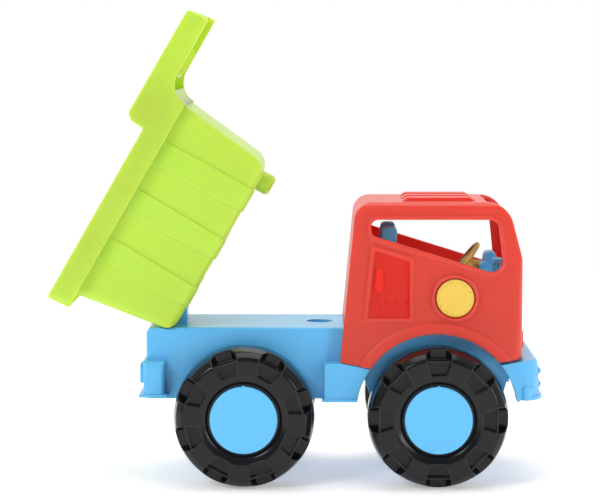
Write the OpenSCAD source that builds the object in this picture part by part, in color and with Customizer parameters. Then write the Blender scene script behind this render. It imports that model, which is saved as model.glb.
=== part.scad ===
// Toy dump truck: chassis, cab, tipping bed, four rolling wheels and cabin fittings.
// +X is the truck's front, +Y its left side, +Z up; millimetres. The bed is drawn raised.

/* [Running gear] */
// distance between the two axles
wheelbase = 158; // [150:1:160]
// height of the axles above the floor, which is also the tyre's radius
tyre_r = 57.5; // [56:0.5:58]
// overall half width, from the centre plane to the hub caps
half_w = 98; // [97:0.5:104]
// tyre width
tyre_w = 46; // [44:0.5:46]
// tread windows on each shoulder of a tyre
tread_n = 8; // [6:1:9]
// axle diameter
axle_d = 6; // [5:0.5:6]

/* [Chassis] */
// height of the load deck
deck_z = 127.5; // [126:0.5:128]
// height of the chassis' lower edge
sill_z = 68.5; // [67:0.5:70]
// half width of the deck
deck_half_w = 50.5; // [49:0.5:50.5]
// half width of the cab and of the side steps
cab_half_w = 66; // [65:0.5:67]
// wall thickness of the moulded bodies
wall = 2.5; // [2.2:0.1:3]

/* [Cab] */
// height of the cab roof
roof_z = 231.5; // [229:0.5:234]
// radius of the wheel arches
arch_r = 66.5; // [65:0.5:68]
// diameter of the yellow dials
dial_d = 30.6; // [28:0.2:31]

/* [Tipping bed] */
// angle the bed is raised to
bed_angle = 60; // [50:1:60]
// depth of the bed's rim skirt
skirt_h = 19.8; // [16:0.2:22]
// how far the ribs round the tub stand out
rib_h = 1.7; // [1:0.1:1.9]

/* [Hidden] */

eps = 0.01;
front_x = wheelbase;
axle_z = tyre_r;
axle_r = axle_d / 2;
run_fit = 0.06;

// x of the middle of the truck's length, bed raised, measured from the rear axle
mid_x = 41.77;

// hinge of the bed, measured from the rear axle
hinge_x = -65;
hinge_z = deck_z + 17.8;
pin_r = 3;

blue = [0.35, 0.72, 0.95];
red = [0.9, 0.22, 0.17];
green = [0.70, 0.92, 0.25];
yellow = [0.98, 0.83, 0.28];
gold = [0.82, 0.62, 0.20];
black = [0.09, 0.09, 0.10];
steel = [0.72, 0.72, 0.74];

// ---- outlines with rounded corners: each point is [x, y, corner radius] ----

function unit(v) = v / norm(v);

function corner(a, b, c) =
  let (p = [a[0], a[1]], q = [b[0], b[1]], r = [c[0], c[1]])
  let (u = unit(p - q), v = unit(r - q))
  let (half = acos(u * v) / 2)
  let (cut = b[2] / tan(half), centre = q + unit(u + v) * b[2] / sin(half))
  let (s = q + u * cut - centre, e = q + v * cut - centre)
  let (a0 = atan2(s[1], s[0]), d = atan2(s[0] * e[1] - s[1] * e[0], s * e))
  let (n = max(3, ceil(abs(d) * sqrt(b[2]) / 32)))
  b[2] <= 0 ? [q] : [for (i = [0:n]) centre + b[2] * [cos(a0 + d * i / n), sin(a0 + d * i / n)]];

function outline(pts) =
  let (n = len(pts))
  [for (i = [0:n - 1]) each corner(pts[(i + n - 1) % n], pts[i], pts[(i + 1) % n])];

module shape(pts) {
  polygon(outline(pts));
}

// a shape drawn in x and z, given a thickness from y0 to y1
module across(y0, y1) {
  translate([0, y1, 0])
    rotate([90, 0, 0])
      linear_extrude(y1 - y0)
        children();
}

// a shape drawn in y and z, given a length from x0 to x1
module along(x0, x1) {
  translate([x0, 0, 0])
    rotate([90, 0, 90])
      linear_extrude(x1 - x0)
        children();
}

// a round bar along y
module bar(r, y0, y1, fn = 48) {
  translate([0, y0, 0])
    rotate([-90, 0, 0])
      cylinder(r = r, h = y1 - y0, $fn = fn);
}

module both_sides() {
  children();
  mirror([0, 1, 0]) children();
}

module centred() {
  translate([-mid_x, 0, 0]) children();
}

// ---- wheels: drawn with the outer face at z = 0 and the axle along z, going inwards ----

bead_r = 25;
cap_r = 27.5;
recess_r = 29.5;

module tyre_section() {
  r = tyre_r;
  w = tyre_w;
  polygon(concat(
    outline([
      [bead_r, 4.2, 0], [recess_r, 4.2, 0.8], [31.2, 1.9, 3], [36, 0.3, 9],
      [50, 0.3, 4], [r - 2.4, 5.6, 6], [r, 17, 30], [r, w - 10, 12],
      [r - 1, w - 4.5, 4], [50.5, w - 0.4, 2.5], [30, w, 2], [bead_r, w - 2, 0]
    ]),
    outline([
      [bead_r, w - 11, 0], [44.5, w - 11.5, 2], [46.5, w - 17, 0], [54, w - 18, 1],
      [54, 18, 1], [46.5, 17, 0], [44.5, 11.5, 2], [bead_r, 11, 0]
    ])
  ));
}

// one window of the tread: a pocket in the sidewall, a lip, and a groove in the crown
module tread_window() {
  translate([0, 0, -1])
    linear_extrude(9)
      shape([[36.2, -6.3, 1.2], [46.8, -9.8, 0.6], [46.8, 9.8, 0.6], [36.2, 6.3, 1.2]]);
  translate([0, 0, -1])
    linear_extrude(3)
      polygon([[46.5, -9.7], [48.6, -10.1], [48.6, 10.1], [46.5, 9.7]]);
  translate([48.2, 0, 0])
    rotate([90, 0, 90])
      linear_extrude(12)
        shape([[-10.4, -2, 0], [10.4, -2, 0], [10.2, 7, 1], [6.4, 14.5, 1.5],
               [-6.4, 14.5, 1.5], [-10.2, 7, 1]]);
}

module tyre_solid(turn) {
  color(black)
    difference() {
      rotate_extrude($fn = 96) tyre_section();
      for (i = [0:tread_n - 1]) {
        rotate([0, 0, turn + i * 360 / tread_n]) tread_window();
        translate([0, 0, tyre_w])
          mirror([0, 0, 1])
            rotate([0, 0, turn + (i + 0.5) * 360 / tread_n]) tread_window();
      }
    }
}

module core_solid() {
  bore = axle_r + run_fit;
  color(blue)
    rotate_extrude($fn = 72)
      polygon([
        [bore, 12], [7, 12], [22.4, 12], [22.4, 9], [24.9, 9], [24.9, tyre_w - 1.5],
        [22.4, tyre_w - 1.5], [22.4, 14.6], [7.4, 14.6], [7, tyre_w - 1], [bore, tyre_w - 1]
      ]);
}

module hub_cap_solid() {
  color(blue) {
    rotate_extrude($fn = 96)
      polygon([
        [0, 0.3], [cap_r - 0.8, 0.3], [cap_r, 1.1], [cap_r, 3], [24.8, 3], [24.8, 8.6],
        [22.6, 8.6], [22.6, 3], [0, 3]
      ]);
    translate([0, cap_r - 0.4, 1.2]) cylinder(r = 1.2, h = 1.6, $fn = 20);
  }
}

// puts a wheel part on its axle: x, side -1 right or 1 left
module at_wheel(x, side) {
  centred()
    translate([x, side * half_w, axle_z])
      rotate([side > 0 ? 90 : -90, 0, 0])
        children();
}

module axle_solid(x) {
  end = half_w - 5;
  color(steel)
    centred()
      translate([x, 0, axle_z])
        rotate([-90, 0, 0])
          rotate_extrude($fn = 48)
            polygon([[0, -end], [axle_r - 0.6, -end], [axle_r, -end + 0.6],
                     [axle_r, end - 0.6], [axle_r - 0.6, end], [0, end]]);
}

// a domed push-on nut at each end of an axle
module push_nuts_solid(x) {
  color(steel)
    centred()
      translate([x, 0, axle_z])
        both_sides()
          translate([0, half_w - 11.6, 0])
            rotate([-90, 0, 0])
              rotate_extrude($fn = 48)
                polygon([[axle_r + 0.03, 0], [6.5, 0], [6.5, 1], [4.6, 3], [axle_r + 0.03, 3]]);
}

module axle_front() { axle_solid(front_x); }
module axle_rear() { axle_solid(0); }
module push_nuts_front() { push_nuts_solid(front_x); }
module push_nuts_rear() { push_nuts_solid(0); }

module tyre_front_right() { at_wheel(front_x, -1) tyre_solid(0); }
module tyre_front_left() { at_wheel(front_x, 1) tyre_solid(0); }
module tyre_rear_right() { at_wheel(0, -1) tyre_solid(-18); }
module tyre_rear_left() { at_wheel(0, 1) tyre_solid(18); }
module core_front_right() { at_wheel(front_x, -1) core_solid(); }
module core_front_left() { at_wheel(front_x, 1) core_solid(); }
module core_rear_right() { at_wheel(0, -1) core_solid(); }
module core_rear_left() { at_wheel(0, 1) core_solid(); }
module hub_cap_front_right() { at_wheel(front_x, -1) mirror([0, 1, 0]) hub_cap_solid(); }
module hub_cap_front_left() { at_wheel(front_x, 1) hub_cap_solid(); }
module hub_cap_rear_right() { at_wheel(0, -1) mirror([0, 1, 0]) hub_cap_solid(); }
module hub_cap_rear_left() { at_wheel(0, 1) hub_cap_solid(); }

// ---- chassis ----

block_half_x = 14;
block_in = 30;
screw_x = 9;
screw_y = 36;
peg_x = 61.5;
ear_half = 13;
// the bed's rear corner swings through a shallow trough of this radius
swing_r = 18.9;
bumper_z = sill_z + 1;
// places of the screws: cab posts, and cabin insert as [x, half spread in y]
post_x = [95, 208];
post_y = 42.5;
insert_screw_at = [[180, 30], [149, 20]];

module deck_section(t) {
  shape([[-deck_half_w + t, sill_z - 1, 0], [-deck_half_w + t, deck_z - t, 2],
         [deck_half_w - t, deck_z - t, 2], [deck_half_w - t, sill_z - 1, 0]]);
}

module deck_plan(t) {
  shape([[-82 + t, -deck_half_w + t, 4 - t], [218 - t, -deck_half_w + t, 4 - t],
         [218 - t, deck_half_w - t, 4 - t], [-82 + t, deck_half_w - t, 4 - t]]);
}

module deck_box(t, z0) {
  intersection() {
    translate([0, 0, z0]) linear_extrude(deck_z) deck_plan(t);
    along(-100, 230) deck_section(t);
    across(-60, 60)
      shape([[-82 + t, 50, 0], [-82 + t, deck_z - t, 6 - t], [230, deck_z - t, 0], [230, 50, 0]]);
  }
}

// the side wall's apron that carries the front axle between the front wheels
module front_apron() {
  shape([[98, 110, 0], [98.6, 84.5, 2], [102.7, 72, 2], [front_x - 34, 44, 6],
         [front_x + 34, 44, 6], [213.5, 74, 2], [217, 87, 2], [217.9, 110, 0]]);
}

module arch_cut(x, r, y0, y1) {
  translate([x, 0, axle_z]) bar(r, y0, y1, 96);
}

// the part of the sides that is as wide as the cab: steps behind the arch, bumper before it
module step_side(t) {
  shape([[65.5 + t, sill_z - t, 0], [65.5 + t, 99.6 - t, 2.5 - t / 2],
         [79, 99.6 - t, 0], [103.5, 95 - t, 0], [120, 92, 0], [120, sill_z - t, 0]]);
}

module bumper_side(t) {
  shape([[198, sill_z - t, 0], [198, 97.6 - t, 0], [211, 98.6 - t, 4],
         [240.4 - t, 103.8 - t, 3], [243.4 - t, sill_z - t, 0]]);
}

module bumper_plan(t) {
  shape([[196, -cab_half_w + t, 0], [236 - t, -cab_half_w + t, 9],
         [243.4 - t, -52, 20], [243.4 - t, 52, 20], [236 - t, cab_half_w - t, 9],
         [196, cab_half_w - t, 0]]);
}

module step_body() {
  difference() {
    across(-cab_half_w, -deck_half_w + 1) step_side(0);
    across(-cab_half_w + wall, -deck_half_w - eps) step_side(wall);
    arch_cut(front_x, arch_r, -80, -40);
  }
  // the wall that follows the wheel arch
  intersection() {
    across(-cab_half_w, -deck_half_w + 1) step_side(0);
    difference() {
      arch_cut(front_x, arch_r + wall, -cab_half_w, -deck_half_w + 1);
      arch_cut(front_x, arch_r, -80, -40);
    }
  }
}

module step_foot() {
  difference() {
    translate([63.5, -cab_half_w - 2, sill_z - 0.5]) cube([40, cab_half_w - deck_half_w + 3, 2]);
    translate([67.5, -cab_half_w + wall, sill_z - 2]) cube([50, cab_half_w - deck_half_w - 4, 6]);
    arch_cut(front_x, arch_r, -90, -40);
  }
}

module bumper_body() {
  difference() {
    intersection() {
      across(-cab_half_w, cab_half_w) bumper_side(0);
      translate([0, 0, bumper_z]) linear_extrude(60) bumper_plan(0);
    }
    intersection() {
      across(-cab_half_w, cab_half_w) bumper_side(wall);
      translate([0, 0, sill_z - 5]) linear_extrude(60) bumper_plan(wall);
    }
    both_sides() arch_cut(front_x, arch_r, -80, -deck_half_w);
    translate([198 - eps, -deck_half_w, sill_z - 1])
      cube([218 - 198 - 1, 2 * deck_half_w, 60]);
  }
  // walls that follow the wheel arches
  both_sides()
    intersection() {
      across(-cab_half_w, -deck_half_w + 1) bumper_side(0);
      difference() {
        arch_cut(front_x, arch_r + wall, -cab_half_w, -deck_half_w + 1);
        arch_cut(front_x, arch_r, -80, -40);
      }
    }
}

module bumper_trim() {
  // foot lip round the front
  difference() {
    translate([0, 0, bumper_z])
      linear_extrude(3)
        shape([[232, -cab_half_w, 0], [237.5, -cab_half_w - 0.5, 9], [245.2, -52, 20],
               [245.2, 52, 20], [237.5, cab_half_w + 0.5, 9], [232, cab_half_w, 0]]);
    translate([0, 0, sill_z - 1]) linear_extrude(6) bumper_plan(wall);
  }
  // two bars across the front
  for (z = [79.7, 90.6])
    translate([242.3, 0, z]) bar(2.9, -40, 40, 40);
  // a raised rim along each arch and a half-round boss on each side
  both_sides() {
    intersection() {
      across(-cab_half_w - 1, -cab_half_w + 1) bumper_side(0);
      difference() {
        arch_cut(front_x, arch_r + 2.6, -cab_half_w - 0.8, -cab_half_w + 1);
        arch_cut(front_x, arch_r, -80, -40);
      }
    }
    translate([231.5, -cab_half_w + 3.2, bumper_z])
      intersection() {
        cylinder(r = 5.2, h = 13, $fn = 40);
        across(-10, 10) shape([[-5.6, 0, 0], [-5.6, 11.5, 5.5], [5.6, 11.5, 5.5], [5.6, 0, 0]]);
      }
  }
}

tail_x0 = -83.6;
tail_x1 = -66;
tail_z = 71.3;
tail_top = 101;
tail_half = 64;

module rear_bumper() {
  in = tail_half - wall;
  difference() {
    intersection() {
      along(tail_x0, tail_x1)
        shape([[-tail_half, tail_z, 0], [-tail_half, tail_top, 5], [tail_half, tail_top, 5],
               [tail_half, tail_z, 0]]);
      translate([0, 0, tail_z - 1])
        linear_extrude(40)
          shape([[tail_x0, -tail_half, 4], [tail_x1, -tail_half, 4],
                 [tail_x1, tail_half, 4], [tail_x0, tail_half, 4]]);
    }
    along(tail_x0 + wall, tail_x1 - wall)
      shape([[-in, tail_z - 1, 0], [-in, tail_top - wall, 3], [in, tail_top - wall, 3],
             [in, tail_z - 1, 0]]);
    translate([-79, -deck_half_w, tail_z - 1]) cube([20, 2 * deck_half_w, 60]);
  }
  // foot flange and two low pads on the back
  difference() {
    translate([-87, -tail_half - 1.4, tail_z]) cube([23.4, 2 * tail_half + 2.8, 2]);
    translate([tail_x0 + wall, -in, tail_z - 1]) cube([tail_x1 - tail_x0 - 2 * wall, 2 * in, 5]);
    translate([-79, -deck_half_w + wall, tail_z - 1]) cube([40, 2 * deck_half_w - 2 * wall, 5]);
  }
  both_sides()
    translate([tail_x0, -46, 90])
      along(-2.8, 0.4) shape([[-12, -8, 4], [-12, 8, 4], [12, 8, 4], [12, -8, 4]]);
}

// the ear the bed turns on, drawn about the hinge
module ear_outline() {
  circle(r = 9, $fn = 48);
  polygon([[-9, -20], [15, -20], [15, -6.5], [7.9, 4.3], [0, 3], [-9, 0]]);
}

module hinge_ear() {
  translate([hinge_x, 0, hinge_z])
    difference() {
      across(-ear_half, ear_half) ear_outline();
      translate([-8, -ear_half + 4, -30]) cube([20, 2 * ear_half - 8, 50]);
      bar(pin_r + 0.03, -20, 20);
    }
}

module axle_block(x) {
  translate([x, 0, 0])
    both_sides() {
      translate([-block_half_x, block_in, axle_z])
        cube([2 * block_half_x, deck_half_w - block_in, 18]);
      translate([-block_half_x, block_in, axle_z])
        cube([wall, deck_half_w - block_in, deck_z - axle_z - 1]);
      translate([block_half_x - wall, block_in, axle_z])
        cube([wall, deck_half_w - block_in, deck_z - axle_z - 1]);
      translate([0, deck_half_w - 3, axle_z])
        bar(8, 0, 4.6);
    }
}

module axle_block_cuts(x) {
  translate([x, 0, axle_z]) {
    bar(axle_r + 0.03, -60, 60);
    both_sides() {
      for (dx = [-screw_x, screw_x])
        translate([dx, screw_y, -eps]) cylinder(r = 1.25, h = 12, $fn = 24);
      translate([-block_half_x - 1, block_in - 1, -30])
        cube([2 * block_half_x + 2, deck_half_w - block_in + 3, 30]);
    }
  }
}

// the open box that carries everything, with aprons down to the front axle
module deck_shell() {
  difference() {
    deck_box(0, sill_z);
    deck_box(3, sill_z - 5);
    // under the cab the box is shallower, between the bumper and the steps
    translate([93.5, -60, 0]) cube([125.5, 120, 86]);
    translate([hinge_x, 0, hinge_z]) bar(swing_r, -60, 60, 72);
  }
  both_sides() across(-deck_half_w, -deck_half_w + 3) front_apron();
  for (x = [-46, 44, 198])
    translate([x, -deck_half_w + 1, 100]) cube([wall, 2 * deck_half_w - 2, deck_z - 101]);
}

module chassis() {
  color(blue)
    centred()
      difference() {
        union() {
          deck_shell();
          both_sides() {
            step_body();
            step_foot();
          }
          bumper_body();
          bumper_trim();
          rear_bumper();
          hinge_ear();
          axle_block(0);
          axle_block(front_x);
          // bosses for the insert screws
          for (at = insert_screw_at, s = [-1, 1])
            translate([at[0], s * at[1], 110]) cylinder(r = 4.5, h = deck_z - 111, $fn = 32);
        }
        translate([peg_x, 0, deck_z - 8]) cylinder(r = 11, h = 20, $fn = 64);
        translate([5.9, 2, deck_z - 5]) cube([5.2, 1.4, 8]);
        axle_block_cuts(0);
        axle_block_cuts(front_x);
        for (at = insert_screw_at, s = [-1, 1])
          translate([at[0], s * at[1], 112]) cylinder(r = 1.25, h = 30, $fn = 24);
        for (x = post_x, s = [-1, 1])
          translate([x, s * post_y, deck_z - 10]) cylinder(r = 1.8, h = 20, $fn = 24);
      }
}

module clamp_solid(x) {
  top = axle_z - 0.3;
  color(blue)
    centred()
      translate([x, 0, 0])
        difference() {
          across(-deck_half_w + 0.4, deck_half_w - 0.4)
            shape([[-block_half_x, 51, 3], [block_half_x, 51, 3],
                   [block_half_x, top, 0], [-block_half_x, top, 0]]);
          translate([0, 0, axle_z]) bar(axle_r + 0.06, -60, 60);
          for (dx = [-screw_x, screw_x], y = [-screw_y, screw_y])
            translate([dx, y, 40]) {
              cylinder(r = 1.8, h = 30, $fn = 24);
              cylinder(r = 3.4, h = 13.4, $fn = 32);
            }
        }
}

module axle_clamp_front() { clamp_solid(front_x); }
module axle_clamp_rear() { clamp_solid(0); }

// a round-headed screw pointing up, head bearing at z = 0
module screw(len, r = 1.2) {
  difference() {
    rotate_extrude($fn = 32)
      polygon([[0, -2], [1.8, -1.9], [2.8, -0.9], [2.9, 0], [r, 0], [r, len - 1.5], [0, len]]);
    for (a = [0, 90])
      rotate([0, 0, a]) translate([-1.4, -0.3, -2.5]) cube([2.8, 0.6, 1.4]);
  }
}

module clamp_screws() {
  color(steel)
    centred()
      for (x = [0, front_x], dx = [-screw_x, screw_x], y = [-screw_y, screw_y])
        translate([x + dx, y, 53.35]) screw(14);
}

// ---- cab ----

cab_foot_z = 97;
side_slope = 2.6;

module cab_side(t) {
  shape([[78.5 + t, 101, 0], [91.2 + t * 1.05, roof_z - t, 15 - t], [215.5 - t, roof_z - t, 22 - t],
         [229 - t, 180, 14], [229.6 - t, 104.2, 0], [211, 101, 0], [206, 101, 0],
         [206, 96, 0], [108, 96, 0], [103.4, 95.6, 0], [79.8 + t, 100.2, 0]]);
}

module cab_side_open(t) {
  shape([[76 + t, 80, 0], [91.2 + t * 1.05, roof_z - t, 15 - t], [215.5 - t, roof_z - t, 22 - t],
         [229 - t, 180, 14], [229.9 - t, 80, 0]]);
}

module cab_section(t) {
  drop = cab_half_w + 0.7 - t;
  top = cab_half_w - 6.4 - t;
  shape([[-drop, 80, 0], [-top, roof_z - t, 7 - t], [top, roof_z - t, 7 - t], [drop, 80, 0]]);
}

module cab_plan(t) {
  w = cab_half_w + 0.6;
  shape([[70 + t, -w + t, 5 - t / 2], [227.4 - t, -w + t, 10 - t], [229.8 - t, -24, 60],
         [229.8 - t, 24, 60], [227.4 - t, w - t, 10 - t], [70 + t, w - t, 5 - t / 2]]);
}

module cab_mass(t) {
  intersection() {
    if (t == 0)
      across(-80, 80) cab_side(0);
    else
      across(-80, 80) cab_side_open(t);
    along(60, 240) cab_section(t);
    translate([0, 0, 70]) linear_extrude(170) cab_plan(t);
  }
}

// a shape in x and z, laid on the sloping right side: out is how far it stands proud
module on_side(out, depth) {
  translate([0, -cab_half_w, cab_foot_z])
    rotate([-side_slope, 0, 0])
      translate([0, 0, -cab_foot_z])
        across(-out, depth) children();
}

module window_shape(g) {
  shape([[103.2 - g, 217.6 + g, 6 + g], [104 - g, 204.8 - g, 5 + g],
         [212.6 + g, 171 - g * 1.2, 9 + g], [207.6 + g, 217.6 + g, 8 + g]]);
}

// the windscreen opening runs up through the front of the roof
module windscreen_shape() {
  shape([[-46, 181, 7], [-46, 260, 0], [46, 260, 0], [46, 181, 7]]);
}

module door_border(t) {
  shape([[103.6 + t, 197.2 - t * 1.4, 3], [138 - t, 187 - t * 1.1, 3],
         [138 - t, 134.2 + t, 2], [97.2 + t, 134.2 + t, 2]]);
}

dial_x = 172.4;
dial_z = 153.6;

module dial_place() {
  translate([0, -cab_half_w, cab_foot_z])
    rotate([-side_slope, 0, 0])
      translate([dial_x, 0, dial_z - cab_foot_z])
        children();
}

module side_relief() {
  // wheel arch trim, window surround, door border, handle, rivets and dial collar
  on_side(2.2, 1)
    intersection() {
      difference() {
        translate([front_x, axle_z]) circle(r = arch_r + 9, $fn = 96);
        translate([front_x, axle_z]) circle(r = arch_r, $fn = 96);
      }
      cab_side(0);
    }
  on_side(1.4, 1)
    difference() {
      window_shape(3);
      window_shape(0);
    }
  on_side(1.4, 1)
    difference() {
      door_border(0);
      door_border(3);
    }
  on_side(1.7, 1)
    shape([[107.4, 158.4, 2], [107.4, 178.6, 3], [113.6, 178.6, 3], [113.6, 158.4, 2]]);
  for (i = [0:3])
    on_side(1.2, 1) translate([108.7 + i * 7.6, 148.7]) circle(r = 1.5, $fn = 20);
  dial_place()
    difference() {
      bar(19, -3.4, 0.6, 72);
      bar(dial_d / 2 + 1.3, -5, 2, 72);
    }
}

module roof_relief() {
  for (y = [-32, 0, 32])
    across(y - 8, y + 8)
      shape([[128.6, roof_z - 1, 0], [133.6, roof_z + 3.1, 2], [185, roof_z + 3.1, 3],
             [192, roof_z - 1, 0]]);
}

module front_relief() {
  // panel below the windscreen with a grille of bars, and a low panel under it
  for (z = [141.5:5:160])
    translate([225, -28, z]) cube([5.4, 56, 3]);
  along(225, 230.8) shape([[-34, 108.5, 3], [-34, 122.5, 3], [34, 122.5, 3], [34, 108.5, 3]]);
}

module cab_shell() {
  color(red)
    centred()
      difference() {
        union() {
          difference() {
            cab_mass(0);
            cab_mass(wall);
          }
          both_sides() side_relief();
          roof_relief();
          front_relief();
          // screw posts that stand on the deck
          both_sides()
            for (x = post_x) {
              translate([x, post_y, deck_z + 0.3]) cylinder(r = 4.5, h = 26, $fn = 32);
              translate([x - 1.5, post_y, deck_z + 0.3]) cube([3, 62.6 - post_y, 24]);
            }
        }
        both_sides() {
          across(-90, -cab_half_w + 14) window_shape(0);
          arch_cut(front_x, arch_r, -90, -deck_half_w + 3);
        }
        along(199, 260) windscreen_shape();
        // red field of the door, sunk a little
        both_sides() on_side(2, 0.8) difference() { door_border(3); handle_and_rivets(); }
        both_sides() dial_place() bar(4.15, -5, 20, 40);
        for (x = post_x, s = [-1, 1])
          translate([x, s * post_y, deck_z - 1]) cylinder(r = 1.25, h = 24, $fn = 24);
        // clear the deck
        translate([60, -deck_half_w - 0.4, 60])
          cube([159, 2 * deck_half_w + 0.8, deck_z - 60 + 0.3]);
      }
}

module handle_and_rivets() {
  shape([[107.4, 158.4, 2], [107.4, 178.6, 3], [113.6, 178.6, 3], [113.6, 158.4, 2]]);
  for (i = [0:3])
    translate([108.7 + i * 7.6, 148.7]) circle(r = 1.5, $fn = 20);
}

module cab_screws() {
  color(steel)
    centred()
      for (x = post_x, s = [-1, 1])
        translate([x, s * post_y, deck_z - 3.05]) screw(16);
}

// ---- cabin insert: floor tray, two seats and a dashboard ----

tray_top = deck_z + 3.5;

module seat(y) {
  across(y - 14, y + 14)
    shape([[111.5, 131, 0], [111.5, 150, 3], [141.5, 156, 5], [143.5, 131, 0]]);
  across(y - 13, y + 13)
    shape([[107.5, 131, 0], [112, 196, 4], [120.5, 196, 4], [121.5, 131, 0]]);
  across(y - 8, y + 8)
    shape([[111.5, 190, 0], [113.6, 209.4, 3.5], [125.9, 209.4, 3.5], [124.5, 188, 3],
           [117.5, 184, 0]]);
}

dash_y = -21;
column_x = 196;
column_z = 170;
column_tilt = 52;

// puts a piece on the steering column, which rises to the rear from the dashboard
module on_column() {
  translate([column_x, dash_y, column_z]) rotate([0, -column_tilt, 0]) children();
}

module dashboard() {
  across(-46, 46)
    shape([[196, deck_z + 2, 0], [192, 160, 3], [196, 176, 5], [212, 172.5, 3],
           [214, 150, 0], [202, deck_z + 2, 0]]);
  // hood over the instruments, and a vent block at the side
  across(dash_y - 13, dash_y + 13)
    shape([[195, 170, 0], [193.4, 179, 2], [199, 181, 3], [206, 176, 0], [206, 168, 0]]);
  across(dash_y - 9, dash_y + 9)
    shape([[197, 172, 0], [198.4, 189, 4], [208, 188.6, 4], [210, 170, 0]]);
  across(-46, -34)
    shape([[204, 165, 0], [204, 185, 2], [212.5, 184.4, 2], [212.5, 165, 0]]);
  on_column() cylinder(r = 6, h = 5.2, $fn = 40);
}

module cabin_insert() {
  color(blue)
    centred()
      difference() {
        union() {
          translate([98, -46, deck_z + 0.3]) cube([104, 92, tray_top - deck_z - 0.3]);
          seat(-27);
          seat(27);
          dashboard();
        }
        on_column() translate([0, 0, -6]) cylinder(r = 2.06, h = 20, $fn = 32);
        // room for the steering wheel's hub
        on_column() translate([0, 0, 5.2]) cylinder(r = 8.5, h = 14, $fn = 40);
        // hollow underside of the dashboard and the seats
        across(-43, 43)
          shape([[198.5, deck_z - 1, 0], [195.5, 157, 2], [198, 169, 3], [209, 167, 2],
                 [210.5, 149, 0], [203, deck_z - 1, 0]]);
        for (y = [-27, 27])
          across(y - 11.5, y + 11.5)
            shape([[114, 120, 0], [114, 148, 2], [138.5, 152.5, 3], [140.9, 120, 0]]);
        for (at = insert_screw_at, s = [-1, 1])
          translate([at[0], s * at[1], 120]) cylinder(r = 1.8, h = 15, $fn = 24);
        // room for the cab's screw posts
        for (x = post_x, s = [-1, 1])
          translate([x, s * post_y, 120]) cylinder(r = 5.4, h = 35, $fn = 40);
        for (i = [0:2])
          translate([205.3 + 2.6 * i, -47, 178]) cube([1.2, 14, 5]);
      }
}

module insert_screws() {
  color(steel)
    centred()
      for (at = insert_screw_at, s = [-1, 1])
        translate([at[0], s * at[1], tray_top + 0.05]) mirror([0, 0, 1]) screw(14);
}

// the wheel: rim, three spokes, cone hub and a stem in the dashboard
module steering_wheel() {
  color(gold)
    centred()
      on_column() {
        rotate_extrude($fn = 48)
          translate([17, 17.2]) circle(r = 2, $fn = 24);
        rotate_extrude($fn = 48)
          polygon([[0, -5], [2, -5], [2, 5.5], [8, 5.5], [7.4, 8], [4.6, 14.6], [5.4, 16.6],
                   [4.4, 18.6], [0, 18.6]]);
        for (a = [0, 120, 240])
          rotate([0, 0, a]) translate([3, -1.6, 15.6]) cube([13, 3.2, 2.4]);
      }
}

// ---- dials on the cab's sides ----

module dial_solid() {
  r = dial_d / 2;
  color(yellow)
    difference() {
      rotate([90, 0, 0])
        rotate_extrude($fn = 72)
          polygon([[0, 3.6], [r * 0.55, 4.2], [r * 0.6, 4.8], [r - 1.6, 4.8], [r, 3.6], [r, 0.4],
                   [7, 0.4], [4.05, 0.3], [4.05, -6.6], [0, -6.6]]);
      for (i = [0:13])
        rotate([0, i * 360 / 14, 0])
          translate([r - 2.2, 0, 0]) bar(1.2, -7, -4, 20);
    }
}

module dial_right() {
  centred() dial_place() dial_solid();
}

module dial_left() {
  mirror([0, 1, 0]) dial_right();
}

// the push-on clip that holds a dial's stem inside the cab
module dial_clip_right() {
  color(steel)
    centred()
      dial_place()
        rotate([90, 0, 0])
          translate([0, 0, -5.2])
            rotate_extrude($fn = 40)
              polygon([[4.08, 0], [8, 0], [8, 1.2], [4.08, 1.2]]);
}

module dial_clip_left() {
  mirror([0, 1, 0]) dial_clip_right();
}

// ---- tipping bed: drawn lowered about its hinge, then raised ----

rim_w = 88.3;
hood_w = 105.3;
floor_w = -14.8;
rim_half = 66.5;
nose_half = 59;
tub_top = 58;
tub_low = 55;
peg_u = 125.7;
pocket_half = 14;

// the tub's end walls lean outwards: their x at a height
function tail_u(w) = -15.6 - 0.165 * (w - floor_w);
function nose_u(w) = 142.5 + 0.1157 * (w - floor_w);

// side view of the tub; the hollow, t > 0, runs out above the rim
module tub_side(t) {
  rim = t > 0 ? hood_w + 4 : rim_w;
  hood = t > 0 ? hood_w + 5 : hood_w;
  shape([[tail_u(rim) + t, rim, 0], [-15.6 + t, floor_w + t, 13 - t],
         [142.5 - t, floor_w + t, 16 - t], [nose_u(hood) - t, hood, 0],
         [119.6, hood, t > 0 ? 0 : 8], [118.8, rim, 0]]);
}

module tub_section(t) {
  shape([[-tub_low + t, floor_w + t, 7 - t], [tub_low - t, floor_w + t, 7 - t],
         [tub_top + 0.6 - t, hood_w + 8, 0], [-tub_top - 0.6 + t, hood_w + 8, 0]]);
}

module tub_slab(x0, x1, half, r, w) {
  translate([0, 0, w])
    linear_extrude(eps)
      shape([[x0, -half, r], [x1, -half, r], [x1, half, r], [x0, half, r]]);
}

module tub(t) {
  intersection() {
    hull() {
      tub_slab(-15.6 + t, 142.5 - t, tub_low - t, max(5.5 - t, 1), floor_w + t);
      tub_slab(-35.4 + t, 156.4 - t, tub_top + 0.6 - t, max(7 - t, 1.5), hood_w + 8);
    }
    across(-70, 70) tub_side(t);
    along(-50, 170) tub_section(t);
  }
}

// a strip of the side view that one raised rib follows
module rib_strip(a0, a1, b0, b1) {
  polygon([[a0, 80], [a1, 80], [b1, floor_w - 5], [b0, floor_w - 5]]);
}

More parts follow.
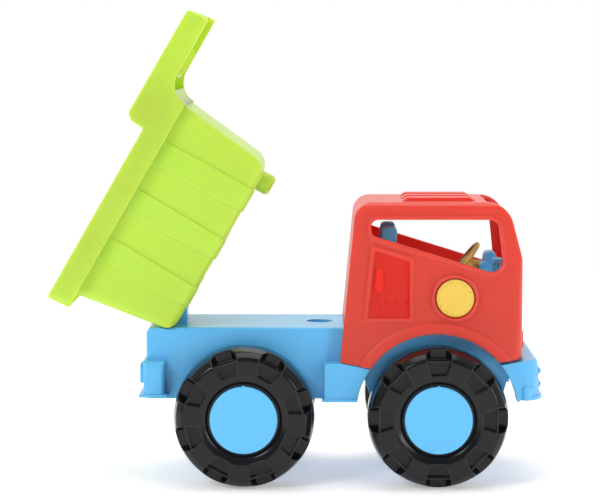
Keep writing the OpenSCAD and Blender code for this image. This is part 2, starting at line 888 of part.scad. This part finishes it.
module cap_side(t) {
  low = rim_w - skirt_h;
  shape([[-41.7 + t, rim_w - t, 1.5], [118.8 + t, rim_w - t, 1.5], [119.6 + t, hood_w - t, 8 - t],
         [220.2 - t, hood_w - t, 2], [222.8 - t, 86.4 - 2 * t, 0], [152.6, 86.4 - 2 * t, t > 0 ? 0 : 19],
         [152.6, low - 4 * t, 0], [-39.2 + t, low - 4 * t, 0]]);
}

module cap_plan(t) {
  shape([[-42 + t, -rim_half + t, 9 - t], [120, -rim_half + t, 40], [223 - t, -nose_half + t, 7 - t],
         [223 - t, nose_half - t, 7 - t], [120, rim_half - t, 40], [-42 + t, rim_half - t, 9 - t]]);
}

module cap_mass(t) {
  intersection() {
    across(-70, 70) cap_side(t);
    translate([0, 0, 40]) linear_extrude(80) cap_plan(t);
  }
}

module handle_plan(t) {
  shape([[168.5 - t, -36 - t, 14 + t], [202.5 + t, -36 - t, 14 + t],
         [202.5 + t, 36 + t, 14 + t], [168.5 - t, 36 + t, 14 + t]]);
}

// the wall round the hand hole; its front part is higher, over the cab's roof ribs
module handle_ring() {
  difference() {
    translate([0, 0, 86.9]) linear_extrude(hood_w - 87.9) handle_plan(wall);
    translate([191, -50, 80]) cube([20, 100, 10.3]);
  }
}

module pocket_side(t) {
  circle(r = 9.9 + t, $fn = 48);
  polygon([[-26, -20], [17 + t, -20], [17 + t, -2 + t], [9.8 + t * 0.8, 6 + t],
           [-4.9 - t * 0.4, 8.6 + t], [-26, -3.6 + t * 1.3]]);
}

module bed_lowered() {
  difference() {
    union() {
      difference() {
        union() {
          difference() {
            cap_mass(0);
            cap_mass(wall);
          }
          tub(0);
          intersection() {
            tub(-rib_h);
            both_sides()
              across(-70, -51.5) {
                rib_strip(97, 118.3, 99.5, 119.1);
                rib_strip(51.1, 73.7, 54.3, 71.5);
                rib_strip(6.6, 28, 8.9, 25.5);
              }
          }
          handle_ring();
        }
        tub(wall);
        // the rim is only a short lip across the rear, and across the canopy's front
        translate([-45, -62, 60]) cube([6.5, 124, rim_w - 6 - 60]);
        translate([215, -56, 80]) cube([10, 112, 12.5]);
      }
      // housing over the chassis ear
      intersection() {
        tub(0);
        across(-pocket_half - 4.4, pocket_half + 4.4) pocket_side(wall);
      }
      // snap peg under the floor
      translate([peg_u, 0, floor_w - 11.9])
        rotate_extrude($fn = 48)
          polygon([[0, 0], [6.6, 0], [8.8, 2.2], [8.8, 9], [8.2, 13], [0, 13]]);
    }
    translate([0, 0, 80]) linear_extrude(40) handle_plan(0);
    across(-pocket_half, pocket_half) pocket_side(0);
    bar(pin_r + run_fit, -30, 30);
    translate([peg_u - 12, -1.2, floor_w - 13]) cube([24, 2.4, 9]);
  }
}

module dump_bed() {
  color(green)
    centred()
      translate([hinge_x, 0, hinge_z])
        rotate([0, -bed_angle, 0])
          bed_lowered();
}

module hinge_pin() {
  end = pocket_half + 4.2;
  color(steel)
    centred()
      translate([hinge_x, 0, hinge_z])
        bar(pin_r, -end, end);
}

chassis();
dump_bed();
hinge_pin();
cab_shell();
cabin_insert();
steering_wheel();
dial_right();
dial_left();
tyre_front_right();
tyre_front_left();
tyre_rear_right();
tyre_rear_left();
core_front_right();
core_front_left();
core_rear_right();
core_rear_left();
hub_cap_front_right();
hub_cap_front_left();
hub_cap_rear_right();
hub_cap_rear_left();
axle_front();
axle_rear();
push_nuts_front();
push_nuts_rear();
axle_clamp_front();
axle_clamp_rear();
clamp_screws();
cab_screws();
insert_screws();
dial_clip_right();
dial_clip_left();
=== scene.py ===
"""Looks of the toy dump truck: moulded plastics, plated steel, a pale floor and soft studio light."""
import math

import bpy
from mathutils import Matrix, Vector


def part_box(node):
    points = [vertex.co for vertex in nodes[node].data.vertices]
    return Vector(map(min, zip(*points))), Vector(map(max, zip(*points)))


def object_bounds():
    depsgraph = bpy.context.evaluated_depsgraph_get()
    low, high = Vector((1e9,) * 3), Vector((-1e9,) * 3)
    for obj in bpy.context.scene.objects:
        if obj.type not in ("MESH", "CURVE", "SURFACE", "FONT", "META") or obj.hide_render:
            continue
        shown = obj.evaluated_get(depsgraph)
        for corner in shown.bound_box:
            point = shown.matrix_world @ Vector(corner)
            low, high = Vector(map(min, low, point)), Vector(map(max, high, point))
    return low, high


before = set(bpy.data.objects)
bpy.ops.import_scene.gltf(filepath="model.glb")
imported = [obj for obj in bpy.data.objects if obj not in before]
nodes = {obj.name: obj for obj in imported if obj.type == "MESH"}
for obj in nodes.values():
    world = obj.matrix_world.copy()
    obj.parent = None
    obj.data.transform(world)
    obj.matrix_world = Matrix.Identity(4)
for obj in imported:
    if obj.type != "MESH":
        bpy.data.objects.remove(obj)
cad_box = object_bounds()

# ---- node helpers ----


class Graph:
    """A node tree with short calls for adding nodes and links."""

    def __init__(self, tree):
        self.tree = tree

    def add(self, kind, inputs=None, **settings):
        node = self.tree.nodes.new(kind)
        for key, value in settings.items():
            setattr(node, key, value)
        for key, value in (inputs or {}).items():
            self.put(node.inputs[key], value)
        return node

    def put(self, socket, value):
        if isinstance(value, bpy.types.NodeSocket):
            self.tree.links.new(value, socket)
        else:
            socket.default_value = value

    def noise(self, place, scale, detail=2.0, roughness=0.5):
        inputs = {"Vector": place, "Scale": scale, "Detail": detail, "Roughness": roughness}
        return self.add("ShaderNodeTexNoise", inputs).outputs["Fac"]

    def ramp(self, value, low, high, to_low, to_high):
        """value from low..high carried to to_low..to_high, clamped."""
        inputs = {"Value": value, "From Min": low, "From Max": high,
                  "To Min": to_low, "To Max": to_high}
        return self.add("ShaderNodeMapRange", inputs).outputs["Result"]

    def mix(self, factor, a, b):
        node = self.add("ShaderNodeMix", data_type="RGBA")
        self.put(node.inputs[0], factor)
        self.put(node.inputs[6], a)
        self.put(node.inputs[7], b)
        return node.outputs[2]

    def math(self, operation, a, b):
        node = self.add("ShaderNodeMath", operation=operation)
        self.put(node.inputs[0], a)
        self.put(node.inputs[1], b)
        return node.outputs[0]


def new_graph(name):
    material = bpy.data.materials.new(name)
    material.use_nodes = True
    material.node_tree.nodes.clear()
    return material, Graph(material.node_tree)


def rgba(colour):
    return (*colour, 1.0)


def plastic(name, base, deep, edge_wear_and_highlight, roughness, edge_radius=0.0011, grain=0.00003, ior=1.45,
            soft=0.0, soft_reach=(1.0, 1.0, 1.0), soft_scale=0.004, field=None, field_colour=None):
    """Injection-moulded plastic: soft flow marks, fine grain, rounded edges painted slightly paler,
    partly as rubbed wear and partly as a painted highlight.

    field(g, place) may mark an area from 0 to 1 that is grained like leather and duller.
    """
    material, g = new_graph(name)
    place = g.add("ShaderNodeTexCoord").outputs["Object"]
    # slow flow marks of the moulding
    warp = g.add("ShaderNodeMapping", {"Vector": place, "Rotation": (0.4, 0.9, 0.3),
                                       "Scale": (1.0, 2.2, 1.4)}).outputs["Vector"]
    cloud = g.ramp(g.noise(warp, 9.0, 2.0), 0.2, 0.8, 0.0, 1.0)
    colour = g.mix(cloud, rgba(deep), rgba(base))
    # edges: where the rounded normal leaves the flat one, painted paler a little unevenly, partly as
    # rubbed wear and partly as a painted highlight
    rounded = g.add("ShaderNodeBevel", {"Radius": edge_radius}, samples=8).outputs["Normal"]
    flat = g.add("ShaderNodeNewGeometry").outputs["Normal"]
    facing = g.add("ShaderNodeVectorMath", operation="DOT_PRODUCT")
    g.put(facing.inputs[0], rounded)
    g.put(facing.inputs[1], flat)
    rim_unevenness = g.ramp(g.noise(place, 120.0, 3.0), 0.3, 0.7, 0.35, 0.8)
    rim_wear_and_highlight = g.math("MULTIPLY", g.ramp(facing.outputs["Value"], 0.995, 0.86, 0.0, 1.0), rim_unevenness)
    colour = g.mix(rim_wear_and_highlight, colour, rgba(edge_wear_and_highlight))
    fine = g.noise(place, 1500.0, 2.0)
    worn = g.ramp(g.noise(place, 38.0, 4.0, 0.55), 0.2, 0.8, roughness - 0.02, roughness + 0.03)
    height = g.math("MULTIPLY", fine, 0.6)
    if field:
        mask = field(g, place)
        colour = g.mix(mask, colour, rgba(field_colour))
        worn = g.math("ADD", worn, g.math("MULTIPLY", mask, 0.16))
        leather = g.math("MULTIPLY", g.noise(place, 620.0, 3.0, 0.6), 3.2)
        height = g.math("ADD", height, g.math("MULTIPLY", mask, leather))
    bump = g.add("ShaderNodeBump", {"Strength": 0.7, "Distance": grain, "Height": height,
                                    "Normal": rounded}).outputs["Normal"]
    shader = g.add("ShaderNodeBsdfPrincipled", {
        "Base Color": colour, "Roughness": worn, "Normal": bump, "IOR": ior,
        "Subsurface Weight": soft, "Subsurface Radius": soft_reach,
        "Subsurface Scale": soft_scale})
    out = g.add("ShaderNodeOutputMaterial")
    g.put(out.inputs["Surface"], shader.outputs["BSDF"])
    return material


def steel(name):
    """Zinc-plated steel: drawn along its length, a little mottled."""
    material, g = new_graph(name)
    place = g.add("ShaderNodeTexCoord").outputs["Object"]
    drawn = g.add("ShaderNodeMapping", {"Vector": place,
                                        "Scale": (900.0, 60.0, 900.0)}).outputs["Vector"]
    lines = g.noise(drawn, 1.0, 3.0)
    mottle = g.ramp(g.noise(place, 300.0, 3.0), 0.35, 0.65, 0.0, 1.0)
    colour = g.mix(mottle, rgba((0.52, 0.53, 0.55)), rgba((0.68, 0.68, 0.69)))
    rounded = g.add("ShaderNodeBevel", {"Radius": 0.0003}, samples=4).outputs["Normal"]
    bump = g.add("ShaderNodeBump", {"Strength": 0.5, "Distance": 0.00003, "Height": lines,
                                    "Normal": rounded}).outputs["Normal"]
    rough = g.ramp(lines, 0.3, 0.7, 0.24, 0.42)
    shader = g.add("ShaderNodeBsdfPrincipled", {"Base Color": colour, "Roughness": rough,
                                                "Normal": bump, "Metallic": 1.0})
    out = g.add("ShaderNodeOutputMaterial")
    g.put(out.inputs["Surface"], shader.outputs["BSDF"])
    return material


def dress(material, *names):
    """Gives CAD nodes a material."""
    for name in names:
        node = nodes[name]
        node.data.materials.clear()
        node.data.materials.append(material)


# ---- materials of the pieces ----

MM = 0.001
DOOR_FROM_REAR = 22.5 * MM
DOOR_FROM_FOOT = 41.2 * MM
DOOR_WIDTH = 35.0 * MM
DOOR_HEIGHT = 57.5 * MM
DOOR_REAR_LEAN = 0.102  # how far the rear edge leans forward, for each unit of height
DOOR_TOP_FALL = 0.297  # how far the top edge falls, for each unit forward
DOOR_FADE = 0.4 * MM
SIDE_DEPTH = 9.0 * MM  # how deep the side walls lie under the cab's widest place, at most


def door_field(g, place):
    """Marks the sunk panel of the cab's doors: a slanted rear edge and a falling top edge."""
    low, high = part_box("cab_shell")
    spot = g.add("ShaderNodeSeparateXYZ", {"Vector": place})
    along = g.math("SUBTRACT", spot.outputs["X"], low.x + DOOR_FROM_REAR)
    up = g.math("SUBTRACT", spot.outputs["Z"], low.z + DOOR_FROM_FOOT)
    past_rear = g.math("SUBTRACT", along, g.math("MULTIPLY", up, DOOR_REAR_LEAN))
    fallen = g.math("ADD", up, g.math("MULTIPLY", along, DOOR_TOP_FALL))
    under_top = g.math("SUBTRACT", DOOR_HEIGHT, fallen)
    before_front = g.math("SUBTRACT", DOOR_WIDTH, along)
    inside = g.math("MINIMUM", g.math("MINIMUM", past_rear, under_top),
                    g.math("MINIMUM", before_front, up))
    outer = g.math("ABSOLUTE", spot.outputs["Y"], 0.0)
    side = high.y - SIDE_DEPTH
    on_side = g.ramp(outer, side, side + 0.5 * MM, 0.0, 1.0)
    return g.math("MULTIPLY", g.ramp(inside, 0.0, DOOR_FADE, 0.0, 1.0), on_side)


blue = plastic("blue_moulding", base=(0.130, 0.54, 0.94), deep=(0.120, 0.51, 0.92),
               edge_wear_and_highlight=(0.21, 0.63, 0.97), roughness=0.25, soft=0.25, soft_reach=(0.3, 0.8, 1.0))
deep_blue = plastic("seat_blue_moulding", base=(0.18, 0.58, 0.93), deep=(0.16, 0.53, 0.89),
                    edge_wear_and_highlight=(0.24, 0.62, 0.94), roughness=0.36, soft=0.6,
                    soft_reach=(0.3, 0.8, 1.0), soft_scale=0.008)
green = plastic("green_moulding", base=(0.515, 0.750, 0.08), deep=(0.495, 0.730, 0.07),
                edge_wear_and_highlight=(0.66, 0.88, 0.15), roughness=0.34, edge_radius=0.0014, soft=0.8,
                soft_reach=(0.9, 1.0, 0.15), soft_scale=0.010)
red = plastic("red_moulding", base=(0.83, 0.067, 0.042), deep=(0.81, 0.060, 0.037),
              edge_wear_and_highlight=(0.90, 0.10, 0.070), roughness=0.33, edge_radius=0.0023, soft=0.8,
              soft_reach=(1.0, 0.12, 0.08), soft_scale=0.011, field=door_field,
              field_colour=(0.92, 0.012, 0.002))
yellow = plastic("yellow_moulding", base=(0.88, 0.62, 0.105), deep=(0.86, 0.59, 0.09),
                 edge_wear_and_highlight=(0.95, 0.74, 0.20), roughness=0.34, edge_radius=0.0006, soft=0.2,
                 soft_reach=(1.0, 0.8, 0.2))
gold = plastic("gold_moulding", base=(0.72, 0.47, 0.085), deep=(0.67, 0.42, 0.065),
               edge_wear_and_highlight=(0.82, 0.60, 0.16), roughness=0.34, edge_radius=0.0005)
# on the tyres the pale edge colour is mostly a painted highlight along the window and tread edges
black = plastic("black_moulding", base=(0.0075, 0.0078, 0.0088), deep=(0.0060, 0.0062, 0.0070),
                edge_wear_and_highlight=(0.060, 0.061, 0.065), roughness=0.17, edge_radius=0.0014, ior=1.36)
plated = steel("plated_steel")

CORNERS = ["front_right", "front_left", "rear_right", "rear_left"]
dress(blue, "chassis", "axle_clamp_front", "axle_clamp_rear")
dress(blue, *["core_" + c for c in CORNERS], *["hub_cap_" + c for c in CORNERS])
dress(green, "dump_bed")
dress(red, "cab_shell")
dress(deep_blue, "cabin_insert")
dress(gold, "steering_wheel")
dress(yellow, "dial_right", "dial_left")
dress(black, *["tyre_" + c for c in CORNERS])
dress(plated, "hinge_pin", "axle_front", "axle_rear", "push_nuts_front", "push_nuts_rear",
      "clamp_screws", "cab_screws", "insert_screws", "dial_clip_right", "dial_clip_left")

# ---- floor, light and camera ----

WHITE = (1.0, 1.0, 1.0, 1.0)


def floor_material():
    material, g = new_graph("pale_floor")
    place = g.add("ShaderNodeTexCoord").outputs["Object"]
    cloud = g.ramp(g.noise(place, 3.0, 3.0), 0.3, 0.7, 0.0, 1.0)
    colour = g.mix(cloud, rgba((0.90, 0.90, 0.90)), rgba((0.93, 0.93, 0.93)))
    shader = g.add("ShaderNodeBsdfPrincipled", {
        "Base Color": colour, "Roughness": 0.6, "Emission Color": WHITE,
        "Emission Strength": 0.36})
    out = g.add("ShaderNodeOutputMaterial")
    g.put(out.inputs["Surface"], shader.outputs["BSDF"])
    return material


def make_floor(size=3.6):
    mesh = bpy.data.meshes.new("floor")
    half = size / 2
    z = cad_box[0].z
    corners = [(-half, -half, z), (half, -half, z), (half, half, z), (-half, half, z)]
    mesh.from_pydata(corners, [], [(0, 1, 2, 3)])
    mesh.materials.append(floor_material())
    floor = bpy.data.objects.new("floor", mesh)
    bpy.context.scene.collection.objects.link(floor)


def softbox(name, place, target, size, power):
    light = bpy.data.lights.new(name, "AREA")
    light.shape = "RECTANGLE"
    light.size, light.size_y = size
    light.energy = power
    lamp = bpy.data.objects.new(name, light)
    lamp.location = place
    lamp.visible_camera = False
    lamp.rotation_euler = (Vector(target) - Vector(place)).to_track_quat("-Z", "Y").to_euler()
    bpy.context.scene.collection.objects.link(lamp)


def make_light():
    """A white studio, dimmer in front than behind, with large softboxes in front and above."""
    world = bpy.data.worlds.new("studio")
    bpy.context.scene.world = world
    world.use_nodes = True
    world.node_tree.nodes.clear()
    g = Graph(world.node_tree)
    direction = g.add("ShaderNodeTexCoord").outputs["Generated"]
    spread = g.add("ShaderNodeSeparateXYZ", {"Vector": direction}).outputs["Y"]
    glow = g.ramp(spread, -0.4, 0.4, 0.22, 1.0)
    seen = g.add("ShaderNodeLightPath").outputs["Is Camera Ray"]
    strength = g.math("MAXIMUM", seen, glow)
    background = g.add("ShaderNodeBackground", {"Color": WHITE, "Strength": strength})
    out = g.add("ShaderNodeOutputWorld")
    g.put(out.inputs["Surface"], background.outputs["Background"])
    middle = (0.0, 0.0, 0.15)
    softbox("key", (-1.3, -1.9, 1.7), middle, (1.0, 0.8), 25.5)
    softbox("fill", (1.5, -1.7, 0.6), middle, (0.7, 0.9), 12.0)
    softbox("top", (0.0, 0.1, 2.0), middle, (1.6, 1.0), 13.0)


def make_camera():
    """Long lens from the truck's right, a little above the deck and looking slightly down."""
    axle_low, axle_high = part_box("axle_rear")
    rear = (axle_low.x + axle_high.x) / 2
    ahead_of_rear, away, up = 0.065, 1.998, 0.360
    pitch = math.radians(-4.91)
    yaw = math.radians(0.58)
    data = bpy.data.cameras.new("camera")
    data.lens = 142.5
    data.sensor_width = 36.0
    data.clip_end = 100.0
    camera = bpy.data.objects.new("camera", data)
    camera.location = (rear + ahead_of_rear, -away, up)
    ahead = Vector((-math.sin(yaw) * math.cos(pitch), math.cos(yaw) * math.cos(pitch),
                    math.sin(pitch)))
    camera.rotation_euler = ahead.to_track_quat("-Z", "Y").to_euler()
    bpy.context.scene.collection.objects.link(camera)
    bpy.context.scene.camera = camera


make_floor()
make_light()
make_camera()
bpy.context.scene.view_settings.view_transform = "Standard"
